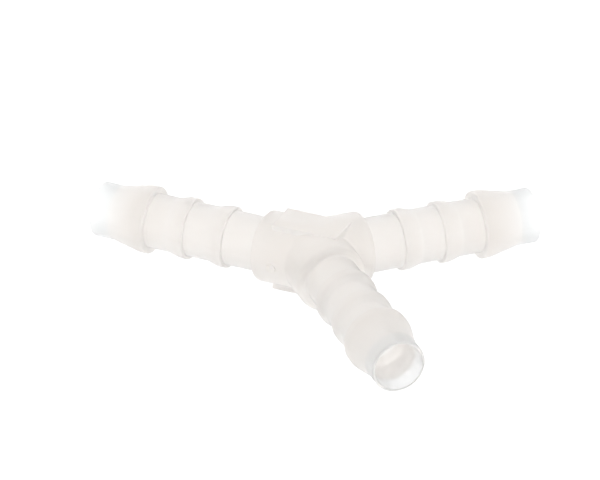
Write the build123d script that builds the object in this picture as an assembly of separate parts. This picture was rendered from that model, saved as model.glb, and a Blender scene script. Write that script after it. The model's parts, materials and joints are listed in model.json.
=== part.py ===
from build123d import *
import math
import os

# Barbed wye connector for soft hose, one polypropylene moulding modelled by its regions.
# Three equal spigots leave a round hub: the stem along -X and two branches at 45 degrees
# either side of +X, so the branches stand square to each other and at 135 degrees to the stem.
# Millimetres. The origin is on the face of the lower pad, straight below the point where the
# three bore axes meet, and +Z is up, so the part stands on Z = 0.

# Driving dimensions of the hose seat
TUBE_RADIUS = 6.25          # plain tube between the barbs, for 13 mm (1/2 in) hose
RIDGE_RADIUS = 7.0          # crest of the inner and middle barbs
BARB_RADIUS = 7.7           # crest of the end barb, which seals and holds the hose
TIP_RADIUS = 6.2            # straight nose that starts the hose
BORE_RADIUS = 5.2           # water way, the same through all three spigots
MOUTH_RADIUS = 5.6          # where the water way opens at the face of the nose

# Driving dimensions along a spigot, from the point where the axes meet
COLLAR_END = 12.2           # where the hub's collar steps down to the tube
FIRST_SHOULDER = 19.7       # step of the inner barb
BARB_PITCH = 9.6            # from one shoulder to the next
SPIGOT_LENGTH = 52.4        # to the face of the nose
RIDGE_LAND = 2.0            # straight crest of an inner or middle barb
RIDGE_RAMP = 2.5            # its slope down towards the nose
BARB_LAND = 2.0             # straight crest of the end barb
BARB_RAMP = 6.9             # its long slope down to the nose
MOUTH_DEPTH = 5.5           # length of the taper from the mouth down to the water way

# Driving dimensions of the hub
COLLAR_RADIUS = 8.1
BRANCH_ANGLE = 45.0         # of each branch from +X
PAD_HEIGHT = 8.2            # flat face of each pad above or below the bore axes
PAD_DEPTH = 2.1             # thickness of a pad, down into the hub
PAD_WIDTH = 8.6             # across the stem
PAD_STEM_END = 8.2          # reach of a pad along the stem
PAD_BRANCH_END = 7.4        # reach of a pad towards the branches
GATE_RADIUS = 1.1           # stub where the moulding was fed
GATE_PLACE = 6.8            # along the stem from the meeting point
GATE_DROP = 0.7             # below the parting plane
GATE_TOP = 8.45             # end of the stub from the stem's axis
GATE_SEAT = 7.2             # bottom of the stub in the collar wall

# Roundings
COLLAR_EDGE = 1.4
COLLAR_ROOT = 0.4
VALLEY_RADIUS = 0.8
SHOULDER_EDGE = 0.3
RAMP_TOP = 3.0
RAMP_FOOT = 2.5
NOSE_EDGE = 0.3
PAD_EDGE = 0.3
GATE_EDGE = 0.15

SPIGOTS = {
    "stem": 180.0,
    "left_branch": BRANCH_ANGLE,
    "right_branch": -BRANCH_ANGLE,
}
VALLEYS = [0.0, 90.0 + BRANCH_ANGLE / 2, -90.0 - BRANCH_ANGLE / 2]
SHOULDERS = [FIRST_SHOULDER + BARB_PITCH * n for n in range(3)]
MEETING_POINT = Vector(0, 0, PAD_HEIGHT)


def turned(wire):
    """The solid made by turning a closed outline of (along, radius) points about X."""
    return revolve(make_face(wire), axis=Axis.X)


def placed(solid, angle):
    """A solid built along +X from the origin, laid along a spigot at that angle."""
    return Location(MEETING_POINT) * Rotation(0, 0, angle) * solid


def outline(corners):
    """A closed outline in the XY plane from (along, radius, rounding) corners."""
    points = [(along, radius) for along, radius, _ in corners]
    roundings = [rounding for _, _, rounding in corners]
    return FilletPolyline(*points, radius=roundings, close=True)


def root_tube():
    """Plain tube from the collar to the inner barb, flared where it leaves the collar."""
    flare_centre = Vector(COLLAR_END + COLLAR_ROOT, TUBE_RADIUS + COLLAR_ROOT)
    half_way = COLLAR_ROOT * math.sqrt(0.5)
    flare_top = (COLLAR_END, TUBE_RADIUS + COLLAR_ROOT)
    flare_foot = (COLLAR_END + COLLAR_ROOT, TUBE_RADIUS)
    flare = ThreePointArc(flare_top, flare_centre - Vector(half_way, half_way), flare_foot)
    rest = Polyline(
        flare_foot,
        (FIRST_SHOULDER, TUBE_RADIUS),
        (FIRST_SHOULDER, BORE_RADIUS),
        (COLLAR_END, BORE_RADIUS),
        flare_top,
    )
    return turned(flare + rest)


def small_barb(shoulder):
    """An inner or middle barb: square shoulder to the hub, short ramp, then plain tube."""
    land_end = shoulder + RIDGE_LAND
    return turned(outline([
        (shoulder, BORE_RADIUS, 0),
        (shoulder + BARB_PITCH, BORE_RADIUS, 0),
        (shoulder + BARB_PITCH, TUBE_RADIUS, 0),
        (land_end + RIDGE_RAMP, TUBE_RADIUS, RAMP_FOOT),
        (land_end, RIDGE_RADIUS, RAMP_TOP),
        (shoulder, RIDGE_RADIUS, SHOULDER_EDGE),
    ]))


def end_barb():
    """The large barb that holds the hose, its long ramp and the straight, thin-walled nose."""
    shoulder = SHOULDERS[-1]
    land_end = shoulder + BARB_LAND
    return turned(outline([
        (shoulder, BORE_RADIUS, 0),
        (SPIGOT_LENGTH - MOUTH_DEPTH, BORE_RADIUS, 0),
        (SPIGOT_LENGTH, MOUTH_RADIUS, 0),
        (SPIGOT_LENGTH, TIP_RADIUS, NOSE_EDGE),
        (land_end + BARB_RAMP, TIP_RADIUS, RAMP_FOOT),
        (land_end, BARB_RADIUS, RAMP_TOP),
        (shoulder, BARB_RADIUS, SHOULDER_EDGE),
    ]))


def pad(side):
    """A flat rectangular pad on the top (side 1) or underside (side -1) of the hub."""
    length = PAD_STEM_END + PAD_BRANCH_END
    block = Box(length, PAD_WIDTH, PAD_DEPTH)
    block = fillet(block.edges().filter_by(Axis.Z), PAD_EDGE)
    outer_rim = block.faces().sort_by(Axis.Z)[-1].edges()
    block = chamfer(outer_rim, PAD_EDGE / 2)
    if side < 0:
        block = Rotation(180, 0, 0) * block
    middle = (PAD_BRANCH_END - PAD_STEM_END) / 2
    height = side * (PAD_HEIGHT - PAD_DEPTH / 2)
    return Location(MEETING_POINT + Vector(middle, 0, height)) * block


def gate_mark():
    """The short round stub on the side of the stem's collar, where the runner was cut off."""
    stub = Cylinder(GATE_RADIUS, GATE_TOP - GATE_SEAT)
    stub = fillet(stub.faces().sort_by(Axis.Z)[-1].edges(), GATE_EDGE)
    drop_angle = math.degrees(math.asin(GATE_DROP / COLLAR_RADIUS))
    across = Location((0, 0, (GATE_TOP + GATE_SEAT) / 2)) * stub
    aimed = Rotation(90 + drop_angle, 0, 0) * across
    return Location(MEETING_POINT - Vector(GATE_PLACE, 0, 0)) * aimed


def hub_body(inserts):
    """The three collars joined, hollow, with seats for the pads and the gate mark."""
    collar = turned(outline([
        (0, 0, 0),
        (COLLAR_END, 0, 0),
        (COLLAR_END, COLLAR_RADIUS, COLLAR_EDGE),
        (0, COLLAR_RADIUS, 0),
    ]))
    bore = Location((COLLAR_END / 2, 0, 0)) * Rotation(0, 90, 0) * Cylinder(BORE_RADIUS, COLLAR_END)
    body = Part() + [placed(collar, angle) for angle in SPIGOTS.values()]
    for insert in inserts:
        body -= insert
    valleys = [edge for edge in body.edges() if is_valley(edge)]
    body = fillet(valleys, VALLEY_RADIUS)
    body -= Location(MEETING_POINT) * Sphere(BORE_RADIUS)
    body -= [placed(bore, angle) for angle in SPIGOTS.values()]
    return body


def is_valley(edge):
    """True for an edge in the upright plane half way between two spigots."""
    for heading in VALLEYS:
        outward = Vector(1, 0, 0).rotate(Axis.Z, heading)
        across = Vector(0, 1, 0).rotate(Axis.Z, heading)
        spots = [edge @ share for share in (0.1, 0.5, 0.9)]
        if all(abs(spot.dot(across)) < 0.01 and spot.dot(outward) > 0 for spot in spots):
            return True
    return False


def main():
    os.makedirs("parts", exist_ok=True)
    inserts = {"top_pad": pad(1), "bottom_pad": pad(-1), "gate_mark": gate_mark()}
    nodes = {"hub_body": hub_body(list(inserts.values())), **inserts}
    for name, angle in SPIGOTS.items():
        nodes[f"{name}_root_tube"] = placed(root_tube(), angle)
        nodes[f"{name}_inner_barb"] = placed(small_barb(SHOULDERS[0]), angle)
        nodes[f"{name}_middle_barb"] = placed(small_barb(SHOULDERS[1]), angle)
        nodes[f"{name}_end_barb"] = placed(end_barb(), angle)
    for name, solid in nodes.items():
        export_step(solid, f"parts/{name}.step")


main()
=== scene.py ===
import json
import math
import bmesh
import bpy
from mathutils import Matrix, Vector


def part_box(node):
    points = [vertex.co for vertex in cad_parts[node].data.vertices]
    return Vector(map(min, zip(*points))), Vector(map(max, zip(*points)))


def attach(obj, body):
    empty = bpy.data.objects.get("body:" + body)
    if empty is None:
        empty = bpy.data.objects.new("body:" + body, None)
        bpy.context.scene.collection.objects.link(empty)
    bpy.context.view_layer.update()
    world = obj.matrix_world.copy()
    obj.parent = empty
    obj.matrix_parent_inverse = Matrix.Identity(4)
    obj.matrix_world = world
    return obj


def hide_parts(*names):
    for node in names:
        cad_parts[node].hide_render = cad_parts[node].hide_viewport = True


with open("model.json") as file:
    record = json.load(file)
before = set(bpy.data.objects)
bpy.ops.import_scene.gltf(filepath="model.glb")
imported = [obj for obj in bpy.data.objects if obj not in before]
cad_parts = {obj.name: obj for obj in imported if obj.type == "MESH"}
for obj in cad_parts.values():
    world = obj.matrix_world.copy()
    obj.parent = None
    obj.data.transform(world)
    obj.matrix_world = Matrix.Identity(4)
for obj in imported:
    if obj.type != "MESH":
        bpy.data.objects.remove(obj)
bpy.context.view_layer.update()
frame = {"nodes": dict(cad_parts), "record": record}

# Barbed wye connector for soft hose, one moulding in natural polypropylene. Every region of the
# moulding gets its own finished skin, and the part lies on a lit white table in a soft white room.

mm = 0.001
mounts = {mount["name"]: mount for mount in frame["record"]["mounts"]}
spigotNames = ("stem", "left_branch", "right_branch")
meetingPoint = Vector((0, 0, mounts["stem_water_way"]["pos_m"][2]))        # the three bore axes meet here
boreRadius = mounts["stem_water_way"]["dims"]["r_mm"] * mm
noseRadius = mounts["stem_nose"]["dims"]["r_mm"] * mm
endCrestRadius = mounts["stem_hose_seat"]["dims"]["r_mm"] * mm
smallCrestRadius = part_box("stem_inner_barb")[1][1]
collarEnd = -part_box("stem_root_tube")[1][0]        # distances along a spigot from the meeting point
innerShoulder = -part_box("stem_inner_barb")[1][0]
middleShoulder = -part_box("stem_middle_barb")[1][0]
endShoulder = -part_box("stem_end_barb")[1][0]
noseFace = -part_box("stem_end_barb")[0][0]


def linear(hexColour):        # an sRGB hex colour as linear RGBA
    parts = [int(hexColour[i:i + 2], 16) / 255 for i in (1, 3, 5)]
    return [c / 12.92 if c <= 0.04045 else ((c + 0.055) / 1.055) ** 2.4 for c in parts] + [1.0]


def addNode(tree, kind, settings=None, links=None):        # one node with its settings and links
    node = tree.nodes.new(kind)
    for key, value in (settings or {}).items():
        if isinstance(key, int) or key in node.inputs:
            node.inputs[key].default_value = value
        else:
            setattr(node, key, value)
    for key, source in (links or {}).items():
        tree.links.new(source, node.inputs[key])
    return node


def newMaterial(name):
    material = bpy.data.materials.new(name)
    material.use_nodes = True
    material.node_tree.nodes.clear()
    return material, material.node_tree


polypropylene = {
    "lipColour": "#F6F7F7",        # the nose's thin lip, nearly clear, just dense enough to keep its edge
    "thinColour": "#FFFDFB",        # tubes
    "thickColour": "#FBF8F5",        # crests and hub
    "lipWall": 0.8,        # mm
    "thinWall": 1.0,
    "thickWall": 2.6,
    "lipTransmission": 0.98,
    "thinTransmission": 0.85,
    "thickTransmission": 0.78,
    "thinMilk": 0.05,        # share of light that scatters straight through the wall
    "thickMilk": 0.26,
    "roughness": 0.33,
    "roughnessSpread": 0.045,
    "ior": 1.49,
    "hazeSize": 3.0,        # mm, cloudy patches left by the flow of the melt
    "hazeDepth": 0.15,
    "noiseLow": 0.3,        # the noise hardly leaves this range
    "noiseHigh": 0.7,
    "grainSize": 0.5,        # mm, the eroded steel's grain; the real one is 0.05, too fine to show
    "grainHeight": 0.002,
    "lineWidth": 0.16,        # mm, the parting line of the two mould halves
    "lineHeight": 0.03,
}

tornPolypropylene = {        # where the runner was twisted off: duller and rougher
    **polypropylene,
    "thickColour": "#F9F5F1",
    "thickTransmission": 0.65,
    "roughness": 0.45,
    "grainSize": 0.3,        # mm
    "grainHeight": 0.05,
    "lineHeight": 0.0,
}


def naturalPolypropylene(name, values):
    # Natural polypropylene, injection moulded without pigment. It is milky, not clear: light soaks
    # through thin walls and comes out soft, thick corners look a little warmer and darker, and the
    # skin has the satin of eroded steel with a faint parting line.
    material, tree = newMaterial(name)
    wall = addNode(tree, "ShaderNodeAttribute", {"attribute_name": "wall"})
    skin = addNode(tree, "ShaderNodeAttribute", {"attribute_name": "skin"})
    place = addNode(tree, "ShaderNodeTexCoord")
    haze = addNode(tree, "ShaderNodeTexNoise", {
        "Scale": 1 / (values["hazeSize"] * mm),
        "Detail": 2.0,
    }, {"Vector": place.outputs["Object"]})
    thick = addNode(tree, "ShaderNodeMapRange", {
        "From Min": values["thinWall"],
        "From Max": values["thickWall"],
    }, {"Value": wall.outputs["Fac"]})
    cloud = addNode(tree, "ShaderNodeMapRange", {        # haze about zero, both ways
        "From Min": values["noiseLow"],
        "From Max": values["noiseHigh"],
        "To Min": -values["hazeDepth"],
        "To Max": values["hazeDepth"],
    }, {"Value": haze.outputs["Fac"]})
    cloudy = addNode(tree, "ShaderNodeMath", {
        "operation": "ADD",
        "use_clamp": True,
    }, {0: thick.outputs["Result"], 1: cloud.outputs["Result"]})
    lip = addNode(tree, "ShaderNodeMapRange", {        # 1 on the thin lip, 0 on the tubes
        "interpolation_type": "SMOOTHSTEP",
        "From Min": values["thinWall"],
        "From Max": values["lipWall"],
    }, {"Value": wall.outputs["Fac"]})
    warm = addNode(tree, "ShaderNodeMix", {
        "data_type": "RGBA",
        6: linear(values["thinColour"]),
        7: linear(values["thickColour"]),
    }, {0: cloudy.outputs["Value"]})
    colour = addNode(tree, "ShaderNodeMix", {
        "data_type": "RGBA",
        7: linear(values["lipColour"]),
    }, {0: lip.outputs["Result"], 6: warm.outputs[2]})
    rough = addNode(tree, "ShaderNodeMapRange", {
        "From Min": values["noiseLow"],
        "From Max": values["noiseHigh"],
        "To Min": values["roughness"] - values["roughnessSpread"],
        "To Max": values["roughness"] + values["roughnessSpread"],
    }, {"Value": haze.outputs["Fac"]})
    body = addNode(tree, "ShaderNodeMapRange", {
        "To Min": values["thinTransmission"],
        "To Max": values["thickTransmission"],
    }, {"Value": cloudy.outputs["Value"]})
    clear = addNode(tree, "ShaderNodeMix", {
        "data_type": "FLOAT",
        3: values["lipTransmission"],
    }, {0: lip.outputs["Result"], 2: body.outputs["Result"]})
    milk = addNode(tree, "ShaderNodeMapRange", {
        "To Min": values["thinMilk"],
        "To Max": values["thickMilk"],
    }, {"Value": cloudy.outputs["Value"]})
    grain = addNode(tree, "ShaderNodeTexNoise", {
        "Scale": 1 / (values["grainSize"] * mm),
        "Detail": 3.0,
    }, {"Vector": place.outputs["Object"]})
    height = addNode(tree, "ShaderNodeSeparateXYZ", links={"Vector": place.outputs["Object"]})
    fromLine = addNode(tree, "ShaderNodeMath", {
        "operation": "SUBTRACT",
        1: meetingPoint.z,
    }, {0: height.outputs["Z"]})
    offLine = addNode(tree, "ShaderNodeMath", {"operation": "ABSOLUTE"}, {0: fromLine.outputs["Value"]})
    line = addNode(tree, "ShaderNodeMapRange", {
        "interpolation_type": "SMOOTHSTEP",
        "From Min": values["lineWidth"] * mm,
        "From Max": 0.0,
        "To Min": 0.0,
        "To Max": values["lineHeight"] * mm,
    }, {"Value": offLine.outputs["Value"]})
    outerLine = addNode(tree, "ShaderNodeMath", {"operation": "MULTIPLY"}, {
        0: line.outputs["Result"],
        1: skin.outputs["Fac"],
    })
    relief = addNode(tree, "ShaderNodeMath", {
        "operation": "MULTIPLY_ADD",
        1: values["grainHeight"] * mm,
    }, {0: grain.outputs["Fac"], 2: outerLine.outputs["Value"]})
    bump = addNode(tree, "ShaderNodeBump", {
        "Distance": 1.0,
        "Strength": 1.0,
    }, {"Height": relief.outputs["Value"]})
    glassy = addNode(tree, "ShaderNodeBsdfPrincipled", {
        "IOR": values["ior"],
    }, {
        "Base Color": colour.outputs[2],
        "Roughness": rough.outputs["Result"],
        "Transmission Weight": clear.outputs[0],
        "Normal": bump.outputs["Normal"],
    })
    milky = addNode(tree, "ShaderNodeBsdfTranslucent", links={
        "Color": colour.outputs[2],
        "Normal": bump.outputs["Normal"],
    })
    mixed = addNode(tree, "ShaderNodeMixShader", links={
        "Fac": milk.outputs["Result"],
        1: glassy.outputs["BSDF"],
        2: milky.outputs["BSDF"],
    })
    addNode(tree, "ShaderNodeOutputMaterial", links={"Surface": mixed.outputs["Shader"]})
    return material


def joinInsideMoulding():
    # Where two regions of the one moulding meet, the plastic carries on and nothing shows.
    material, tree = newMaterial("joinInsideMoulding")
    shader = addNode(tree, "ShaderNodeBsdfPrincipled", {"Base Color": linear("#FFFFFF"), "Alpha": 0.0})
    addNode(tree, "ShaderNodeOutputMaterial", links={"Surface": shader.outputs["BSDF"]})
    return material


plastic = naturalPolypropylene("mouldedNaturalPolypropylene", polypropylene)
tornPlastic = naturalPolypropylene("tornNaturalPolypropylene", tornPolypropylene)
join = joinInsideMoulding()
print("materials done")


def finished(name, mesh, node, smoothAngle):        # a mesh as the piece that stands for a CAD node
    shading = bmesh.new()
    shading.from_mesh(mesh)
    bmesh.ops.recalc_face_normals(shading, faces=shading.faces)
    for face in shading.faces:
        face.smooth = True
    for edge in shading.edges:        # smooth over gentle bends, but never round into a join
        kinds = {face.material_index for face in edge.link_faces}
        edge.smooth = len(kinds) == 1 and edge.calc_face_angle(0.0) < math.radians(smoothAngle)
    openEdges = sum(1 for edge in shading.edges if len(edge.link_faces) != 2)
    print(f"{name}: {len(shading.faces)} faces, {openEdges} open edges")
    shading.to_mesh(mesh)
    shading.free()
    piece = bpy.data.objects.new(name, mesh)
    bpy.context.scene.collection.objects.link(piece)
    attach(piece, "root")
    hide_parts(node)


spigot = {
    "tubeRadius": 6.25 * mm,
    "rootFlare": 0.45 * mm,        # quarter round where the tube leaves the collar
    "smallCrest": 2.0 * mm,
    "smallRamp": 2.5 * mm,
    "endCrest": 2.0 * mm,
    "endRamp": 6.9 * mm,        # the long slope that spreads the hose
    "shoulderEdge": 0.3 * mm,
    "rampTop": 3.0 * mm,
    "rampFoot": 2.5 * mm,
    "noseEdge": 0.3 * mm,
    "mouthRadius": 5.6 * mm,
    "mouthDepth": 5.5 * mm,
    "segments": 160,
    "arcSteps": 6,
    "boreStep": 0.8 * mm,
    "boreGap": 0.01 * mm,        # a point this near the bore's wall counts as on it
    "level": 1e-6 * mm,        # two points closer than this along the axis are at one place
    "smoothAngle": 35,        # degrees
}


def rounded(corners):        # (along, radius, rounding, joined) corners as points of a closed outline
    points, joined = [], []
    for i, (along, radius, rounding, joinNext) in enumerate(corners):
        here = Vector((along, radius))
        arc = [here]
        if rounding:
            before = (Vector(corners[i - 1][:2]) - here).normalized()
            after = (Vector(corners[(i + 1) % len(corners)][:2]) - here).normalized()
            halfAngle = before.angle(after) / 2
            centre = here + (before + after).normalized() * rounding / math.sin(halfAngle)
            start = here + before * rounding / math.tan(halfAngle) - centre
            end = here + after * rounding / math.tan(halfAngle) - centre
            shares = [k / spigot["arcSteps"] for k in range(spigot["arcSteps"] + 1)]
            arc = [centre + start.lerp(end, share).normalized() * rounding for share in shares]
        points += arc
        joined += [False] * (len(arc) - 1) + [joinNext]
    return points, joined


def inBore(point):        # True on the bore's wall and the mouth's taper
    taper = (spigot["mouthRadius"] - boreRadius) / spigot["mouthDepth"]
    bore = boreRadius + max(0.0, point.x - noseFace + spigot["mouthDepth"]) * taper
    return point.y < bore + spigot["boreGap"]


def withRings(points, joined):        # the outline with extra points along its long straight runs
    fuller, marks = [], []
    for i, point in enumerate(points):
        after = points[(i + 1) % len(points)]
        steps = 1 if joined[i] else max(1, round((after - point).length / spigot["boreStep"]))
        fuller += [point.lerp(after, k / steps) for k in range(steps)]
        marks += [joined[i]] * steps
    return fuller, marks


def wallAt(points, along):        # wall thickness in mm at a distance along the spigot
    outer, inner, level = 0.0, endCrestRadius, spigot["level"]
    for i, here in enumerate(points):
        there = points[(i + 1) % len(points)]
        if min(here.x, there.x) - level <= along <= max(here.x, there.x) + level:
            run = there.x - here.x
            radii = [here.y, there.y]
            if abs(run) > level:
                radii = [here.lerp(there, (along - here.x) / run).y]
            outer = max(outer, *radii)
            inner = min(inner, *radii)
    return (outer - inner) / mm


def turnedPiece(name, node, heading, corners):        # an outline turned about a spigot's axis
    points, joined = withRings(*rounded(corners))
    walls = [wallAt(points, point.x) for point in points]
    skins = [0.0 if inBore(point) else 1.0 for point in points]
    along = Vector((heading[0], heading[1], 0))
    side = Vector((-along.y, along.x, 0))
    count = spigot["segments"]
    rim = len(points)
    vertices, faces, marks = [], [], []
    for k in range(count):
        turn = 2 * math.pi * k / count
        outward = side * math.cos(turn) + Vector((0, 0, math.sin(turn)))
        vertices += [tuple(meetingPoint + along * point.x + outward * point.y) for point in points]
        here, there = k * rim, (k + 1) % count * rim
        for i in range(rim):
            j = (i + 1) % rim
            faces.append((here + i, here + j, there + j, there + i))
            marks.append(int(joined[i]))
    mesh = bpy.data.meshes.new(name)
    mesh.from_pydata(vertices, [], faces)
    mesh.materials.append(plastic)
    mesh.materials.append(join)
    mesh.polygons.foreach_set("material_index", marks)
    mesh.attributes.new("wall", "FLOAT", "POINT").data.foreach_set("value", walls * count)
    mesh.attributes.new("skin", "FLOAT", "POINT").data.foreach_set("value", skins * count)
    finished(name, mesh, node, spigot["smoothAngle"])


def rootTube(name, heading):
    tube, flare = spigot["tubeRadius"], spigot["rootFlare"]
    quarter = [math.pi / 2 * k / spigot["arcSteps"] for k in range(spigot["arcSteps"] + 1)]
    flared = [
        (collarEnd + flare * (1 - math.cos(turn)), tube + flare * (1 - math.sin(turn)), 0, False)
        for turn in quarter
    ]
    turnedPiece(f"{name}.rootTube", f"{name}_root_tube", heading, [
        *flared,
        (innerShoulder, tube, 0, True),
        (innerShoulder, boreRadius, 0, False),
        (collarEnd, boreRadius, 0, True),
    ])


def smallBarb(name, heading, barb, shoulder, end):
    crestEnd = shoulder + spigot["smallCrest"]
    turnedPiece(f"{name}.{barb}Barb", f"{name}_{barb}_barb", heading, [
        (shoulder, boreRadius, 0, True),
        (shoulder, spigot["tubeRadius"], 0, False),
        (shoulder, smallCrestRadius, spigot["shoulderEdge"], False),
        (crestEnd, smallCrestRadius, spigot["rampTop"], False),
        (crestEnd + spigot["smallRamp"], spigot["tubeRadius"], spigot["rampFoot"], False),
        (end, spigot["tubeRadius"], 0, True),
        (end, boreRadius, 0, False),
    ])


def endBarb(name, heading):
    crestEnd = endShoulder + spigot["endCrest"]
    turnedPiece(f"{name}.endBarb", f"{name}_end_barb", heading, [
        (endShoulder, boreRadius, 0, True),
        (endShoulder, spigot["tubeRadius"], 0, False),
        (endShoulder, endCrestRadius, spigot["shoulderEdge"], False),
        (crestEnd, endCrestRadius, spigot["rampTop"], False),
        (crestEnd + spigot["endRamp"], noseRadius, spigot["rampFoot"], False),
        (noseFace, noseRadius, spigot["noseEdge"], False),
        (noseFace, spigot["mouthRadius"], 0, False),
        (noseFace - spigot["mouthDepth"], boreRadius, 0, False),
    ])


for spigotName in spigotNames:
    heading = mounts[f"{spigotName}_water_way"]["axis"]
    rootTube(spigotName, heading)
    smallBarb(spigotName, heading, "inner", innerShoulder, middleShoulder)
    smallBarb(spigotName, heading, "middle", middleShoulder, endShoulder)
    endBarb(spigotName, heading)
print("spigots done")

hub = {
    "nodes": ["hub_body", "top_pad", "bottom_pad", "gate_mark"],
    "names": ["hub.body", "hub.topPad", "hub.bottomPad", "hub.gateMark"],
    "finishes": [plastic, plastic, plastic, tornPlastic],
    "weld": 0.001 * mm,
    "swell": 0.02 * mm,        # of the pads and the gate mark, into their seats
    "faceGap": 0.01 * mm,        # a face this near a collar's end is the one a root tube stands on
    "facing": 0.999,        # cosine, how squarely such a face looks along the spigot
    "boreGap": 0.05 * mm,
    "boxGap": 0.05 * mm,
    "wall": 2.0,        # mm, less than the collars' real 2.9, so that the hub is no darker than a crest
    "smoothAngle": 20,        # degrees
}


def markedCopy(node, slot, markers):        # a welded copy of a CAD node, all its faces in one slot
    mesh = frame["nodes"][node].data.copy()
    mesh.materials.clear()
    for marker in markers:
        mesh.materials.append(marker)
    welder = bmesh.new()
    welder.from_mesh(mesh)
    bmesh.ops.remove_doubles(welder, verts=welder.verts, dist=hub["weld"])
    for face in welder.faces:
        face.material_index = slot
    if slot:        # an insert swells a little into its seat, so that no sliver of air stays round it
        welder.normal_update()
        for vertex in welder.verts:
            vertex.co += vertex.normal * hub["swell"]
    welder.to_mesh(mesh)
    welder.free()
    copy = bpy.data.objects.new(f"{node}Copy", mesh)
    bpy.context.scene.collection.objects.link(copy)
    return copy


def joinedHub(markers):        # the hub, its pads and its gate mark as one skin, slots telling them apart
    copies = [markedCopy(node, slot, markers) for slot, node in enumerate(hub["nodes"])]
    for insert in copies[1:]:
        union = copies[0].modifiers.new("union", "BOOLEAN")
        union.operation = "UNION"
        union.solver = "EXACT"
        union.object = insert
    evaluated = copies[0].evaluated_get(bpy.context.evaluated_depsgraph_get())
    whole = bpy.data.meshes.new_from_object(evaluated)
    for copy in copies:
        bpy.data.objects.remove(copy)
    return whole


def meetsSpigot(face):        # True for a face that a root tube stands on
    for spigotName in spigotNames:
        heading = Vector(mounts[f"{spigotName}_water_way"]["axis"])
        reach = (face.calc_center_median() - meetingPoint).dot(heading)
        if abs(reach - collarEnd) < hub["faceGap"] and face.normal.dot(heading) > hub["facing"]:
            return True
    return False


def hubSkin(vertex):        # 0 on the water way, 1 outside
    offset = vertex.co - meetingPoint
    for spigotName in spigotNames:
        heading = Vector(mounts[f"{spigotName}_water_way"]["axis"])
        across = offset - heading * max(0.0, offset.dot(heading))
        if across.length < boreRadius + hub["boreGap"]:
            return 0.0
    return 1.0


def closeRims(part):        # a fan from each open rim down to the middle of its pad or gate mark
    rims = [edge for edge in part.edges if edge.is_boundary]
    for node in hub["nodes"][1:]:
        low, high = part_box(node)
        mine = [edge for edge in rims if all(
            low[axis] - hub["boxGap"] < vertex.co[axis] < high[axis] + hub["boxGap"]
            for vertex in edge.verts for axis in range(3)
        )]
        if mine:
            middle = part.verts.new((Vector(low) + Vector(high)) / 2)
        for edge in mine:
            part.faces.new((*edge.verts, middle)).material_index = 1


def hubPieces():
    markers = [bpy.data.materials.new(f"marker{k}") for k in range(len(hub["nodes"]))]
    whole = joinedHub(markers)
    for slot, (name, node, finish) in enumerate(zip(hub["names"], hub["nodes"], hub["finishes"])):
        part = bmesh.new()
        part.from_mesh(whole)
        others = [face for face in part.faces if face.material_index != slot]
        bmesh.ops.delete(part, geom=others, context="FACES")
        for face in part.faces:
            face.material_index = int(meetsSpigot(face))
        closeRims(part)
        skins = [hubSkin(vertex) for vertex in part.verts]
        mesh = bpy.data.meshes.new(name)
        mesh.materials.append(finish)
        mesh.materials.append(join)
        part.to_mesh(mesh)
        part.free()
        walls = [hub["wall"]] * len(mesh.vertices)
        mesh.attributes.new("wall", "FLOAT", "POINT").data.foreach_set("value", walls)
        mesh.attributes.new("skin", "FLOAT", "POINT").data.foreach_set("value", skins)
        finished(name, mesh, node, hub["smoothAngle"])
    bpy.data.meshes.remove(whole)
    for marker in markers:
        bpy.data.materials.remove(marker)


hubPieces()
print("hub done")

studio = {
    "tableGlow": 1.2,        # the lit table, above full white so that its surface burns out evenly
    "roomGlow": 1.2,
    "tableHalf": 1.5,        # metres
    "tableDrop": 0.05 * mm,        # below the lower pad, so that the two faces never share a plane
}


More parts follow.
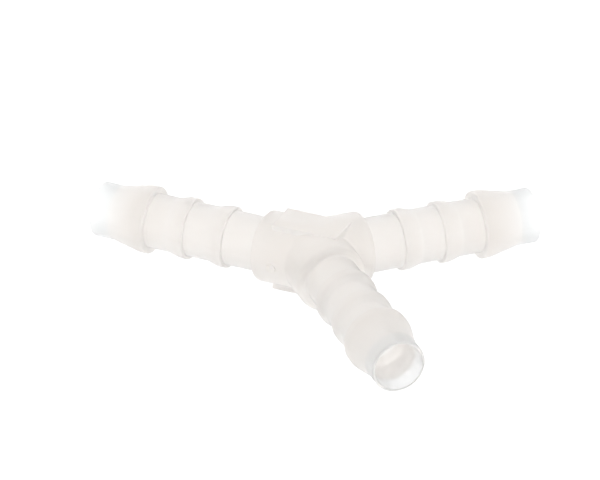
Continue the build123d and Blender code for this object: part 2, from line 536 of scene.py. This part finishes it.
def litTable():
    half = studio["tableHalf"]
    level = -studio["tableDrop"]
    mesh = bpy.data.meshes.new("table")
    corners = [(-half, -half, level), (half, -half, level), (half, half, level), (-half, half, level)]
    mesh.from_pydata(corners, [], [(0, 1, 2, 3)])
    # Opal acrylic lit from below: an even white that throws no shadow.
    material, tree = newMaterial("litOpalAcrylic")
    shader = addNode(tree, "ShaderNodeBsdfPrincipled", {
        "Base Color": linear("#000000"),
        "Specular IOR Level": 0.0,
        "Emission Color": linear("#FFFFFF"),
        "Emission Strength": studio["tableGlow"],
    })
    addNode(tree, "ShaderNodeOutputMaterial", links={"Surface": shader.outputs["BSDF"]})
    mesh.materials.append(material)
    table = bpy.data.objects.new("table", mesh)
    bpy.context.scene.collection.objects.link(table)


def whiteRoom():
    world = bpy.data.worlds.new("whiteRoom")
    world.use_nodes = True
    background = world.node_tree.nodes["Background"]
    background.inputs["Color"].default_value = linear("#FFFFFF")
    background.inputs["Strength"].default_value = studio["roomGlow"]
    bpy.context.scene.world = world


litTable()
whiteRoom()
print("studio done")

view = {
    "azimuth": 24.2,        # degrees from straight in front, towards +X
    "elevation": 29.6,
    "distance": 2.0,        # metres
    "lens": 537.5,        # mm
    "left": 2.976 * mm,        # the aim's offset from the meeting point
    "up": 3.483 * mm,
}


def placedCamera():
    azimuth = math.radians(view["azimuth"])
    elevation = math.radians(view["elevation"])
    level = math.cos(elevation)
    back = Vector((math.sin(azimuth) * level, -math.cos(azimuth) * level, math.sin(elevation)))
    right = Vector((math.cos(azimuth), math.sin(azimuth), 0))
    up = back.cross(right)
    lens = bpy.data.cameras.new("camera")
    lens.lens = view["lens"]
    camera = bpy.data.objects.new("camera", lens)
    bpy.context.scene.collection.objects.link(camera)
    aim = meetingPoint - right * view["left"] + up * view["up"]
    camera.location = aim + back * view["distance"]
    camera.rotation_euler = back.to_track_quat("Z", "Y").to_euler()
    bpy.context.scene.camera = camera


lightPaths = {        # many walls lie behind each other, so light needs room to pass them all
    "max_bounces": 64,
    "diffuse_bounces": 32,
    "glossy_bounces": 16,
    "transmission_bounces": 64,
    "transparent_max_bounces": 64,
}

placedCamera()
bpy.context.scene.view_settings.view_transform = "Standard"
for setting, count in lightPaths.items():
    setattr(bpy.context.scene.cycles, setting, count)
print("camera done")
